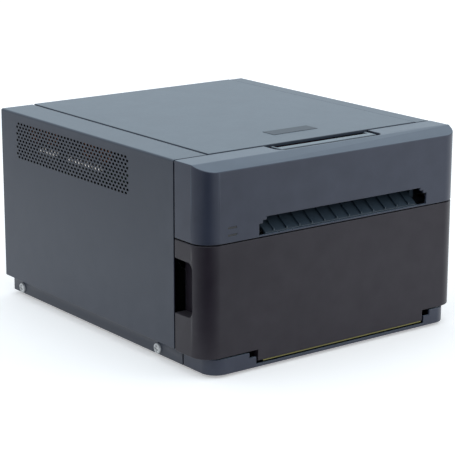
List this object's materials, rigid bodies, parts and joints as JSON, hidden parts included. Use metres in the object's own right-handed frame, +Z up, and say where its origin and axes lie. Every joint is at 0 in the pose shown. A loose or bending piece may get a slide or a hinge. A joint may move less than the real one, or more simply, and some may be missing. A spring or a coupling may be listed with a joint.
{
  "type": "compact photo printer",
  "caption": "Compact desktop photo printer, boxy slate case with a hinged top lid, latch lever, stepped ribbed output slot and a pull-out paper drawer at the foot.",
  "frame": {"origin": "on the floor under the centre of the case", "axes": "+Z up, -Y is the front with the output slot, +X is the right side seen from the front"},
  "size_m": [0.275, 0.31, 0.1752],
  "materials": {
    "panel_slate": "satin textured powder coat, slate grey",
    "lid_grey": "satin textured powder coat, slate grey that looks pale where it mirrors a bright room",
    "bezel_plastic": "fine moulded texture, slate grey",
    "drawer_plastic": "fine moulded texture, warm near-black",
    "lever_plastic": "fine moulded texture, slate grey",
    "label_grey": "bare printed label stock",
    "chute_plastic": "dark blue-grey, fine moulded",
    "black_plastic": "black, fine moulded",
    "tray_plastic": "dark grey, moulded",
    "light_pipe": "smoked translucent plastic, unlit",
    "strip_yellow": "dull yellow strip",
    "rubber_black": "black rubber",
    "zinc_steel": "zinc-plated sheet steel",
    "bright_steel": "bright plated steel",
    "sink_aluminium": "extruded aluminium",
    "brass_bush": "sintered bronze",
    "board_green": "green solder mask",
    "copper_coil": "enamelled copper wire",
    "capacitor_blue": "sleeved capacitor cans",
    "plug_white": "off-white connector plastic",
    "gear_nylon": "natural acetal",
    "motor_black": "black coated motor can",
    "head_ceramic": "coated head board",
    "paper_white": "white photo paper",
    "dye_ribbon": "dye film"
  },
  "bodies": {
    "chassis": {"base_pan": "panel_slate", "rubber_feet": "rubber_black", "front_base_cover": "bezel_plastic", "left_side_cover": "panel_slate", "right_side_cover": "panel_slate", "rear_panel": "panel_slate", "front_bezel": "bezel_plastic", "status_light_pipes": "light_pipe", "output_ramp": "chute_plastic", "left_frame_plate": "zinc_steel", "right_frame_plate": "zinc_steel", "frame_tie_bars": "zinc_steel", "shaft_bushes": "brass_bush", "cover_screws": "bright_steel", "lid_hinge_brackets": "zinc_steel", "latch_pins": "bright_steel", "drawer_rails": "zinc_steel", "power_supply_board": "board_green", "power_supply_coils": "copper_coil", "power_supply_capacitors": "capacitor_blue", "power_supply_heat_sink": "sink_aluminium", "power_supply_plugs": "plug_white", "main_board": "board_green", "usb_port": "bright_steel", "mains_inlet": "black_plastic", "power_switch_housing": "black_plastic", "fan_housing": "black_plastic", "feed_motor": "motor_black", "ribbon_motor": "motor_black", "paper_guide": "tray_plastic", "ribbon_web": "dye_ribbon", "cutter_beam": "zinc_steel"},
    "lid": {"lid_panel": "lid_grey", "lid_label_plate": "label_grey", "lid_hinge_pins": "bright_steel", "head_bracket": "zinc_steel", "thermal_head": "head_ceramic", "head_heat_sink": "sink_aluminium", "head_springs": "bright_steel"},
    "lever": {"lid_lever": "lever_plastic", "latch_shaft": "zinc_steel"},
    "paper_drawer": {"drawer_front": "drawer_plastic", "drawer_edge_strip": "strip_yellow", "drawer_tray": "tray_plastic", "roll_cradle": "tray_plastic"},
    "roll": {"paper_roll": "paper_white", "roll_flanges": "tray_plastic"},
    "platen": {"platen_roller": "rubber_black", "platen_gear": "gear_nylon"},
    "capstan": {"capstan_roller": "bright_steel"},
    "pinch": {"pinch_roller": "rubber_black"},
    "small_idler": {"small_idler_gear": "gear_nylon"},
    "large_idler": {"large_idler_gear": "gear_nylon"},
    "drive_pinion": {"feed_pinion": "brass_bush"},
    "ribbon_supply": {"supply_spool": "gear_nylon"},
    "ribbon_takeup": {"takeup_spool": "gear_nylon"},
    "takeup_pinion": {"ribbon_pinion": "brass_bush"},
    "fan": {"fan_rotor": "black_plastic"},
    "rocker": {"power_rocker": "black_plastic"},
    "cutter": {"cutter_carriage": "black_plastic"}
  },
  "joints": [
    {"name": "lid_hinge", "type": "hinge", "parent": "chassis", "child": "lid", "pos_m": [0.0085, 0.1505, 0.1685], "axis": [-1, 0, 0], "range_deg": [0, 70]},
    {"name": "lever_pull", "type": "hinge", "parent": "lid", "child": "lever", "pos_m": [0.0085, -0.108, 0.166], "axis": [-1, 0, 0], "range_deg": [0, 15], "stiffness_Nm_per_rad": 0.35, "springref_deg": -14.32},
    {"name": "drawer_slide", "type": "slide", "parent": "chassis", "child": "paper_drawer", "axis": [0, -1, 0], "range_m": [0, 0.16]},
    {"name": "paper_roll_spin", "type": "hinge", "parent": "paper_drawer", "child": "roll", "pos_m": [0.0085, -0.088, 0.0595], "axis": [1, 0, 0], "continuous": true},
    {"name": "platen_spin", "type": "hinge", "parent": "chassis", "child": "platen", "pos_m": [0.0085, -0.02, 0.118], "axis": [1, 0, 0], "continuous": true},
    {"name": "capstan_spin", "type": "hinge", "parent": "chassis", "child": "capstan", "pos_m": [0.0085, -0.07, 0.124], "axis": [1, 0, 0], "continuous": true},
    {"name": "pinch_spin", "type": "hinge", "parent": "chassis", "child": "pinch", "pos_m": [0.0085, -0.07, 0.1365], "axis": [1, 0, 0], "continuous": true},
    {"name": "small_idler_spin", "type": "hinge", "parent": "chassis", "child": "small_idler", "pos_m": [0.0085, -0.04799, 0.11732], "axis": [1, 0, 0], "continuous": true},
    {"name": "large_idler_spin", "type": "hinge", "parent": "chassis", "child": "large_idler", "pos_m": [0.0085, 0.0025, 0.09119], "axis": [1, 0, 0], "continuous": true},
    {"name": "feed_pinion_spin", "type": "hinge", "parent": "chassis", "child": "drive_pinion", "pos_m": [0.0085, 0.02787, 0.08195], "axis": [1, 0, 0], "continuous": true},
    {"name": "supply_spin", "type": "hinge", "parent": "chassis", "child": "ribbon_supply", "pos_m": [0.0085, 0.038, 0.142], "axis": [1, 0, 0], "continuous": true},
    {"name": "takeup_spin", "type": "hinge", "parent": "chassis", "child": "ribbon_takeup", "pos_m": [0.0085, -0.044, 0.148], "axis": [1, 0, 0], "continuous": true},
    {"name": "ribbon_pinion_spin", "type": "hinge", "parent": "chassis", "child": "takeup_pinion", "pos_m": [0.0085, -0.02925, 0.15832], "axis": [1, 0, 0], "continuous": true},
    {"name": "fan_spin", "type": "hinge", "parent": "chassis", "child": "fan", "pos_m": [0.062, 0.144, 0.1], "axis": [0, 1, 0], "continuous": true},
    {"name": "power_switch", "type": "hinge", "parent": "chassis", "child": "rocker", "pos_m": [-0.108, 0.151, 0.0625], "axis": [-1, 0, 0], "range_deg": [0, 14]},
    {"name": "cutter_travel", "type": "slide", "parent": "chassis", "child": "cutter", "axis": [1, 0, 0], "range_m": [0, 0.165]}
  ],
  "couplings": [
    {"joint": "capstan_spin", "follows": "platen_spin", "ratio": 1.5},
    {"joint": "pinch_spin", "follows": "platen_spin", "ratio": -1.5},
    {"joint": "small_idler_spin", "follows": "platen_spin", "ratio": -1.1538},
    {"joint": "large_idler_spin", "follows": "platen_spin", "ratio": -0.75},
    {"joint": "feed_pinion_spin", "follows": "platen_spin", "ratio": 2.1429},
    {"joint": "ribbon_pinion_spin", "follows": "takeup_spin", "ratio": -2}
  ]
}
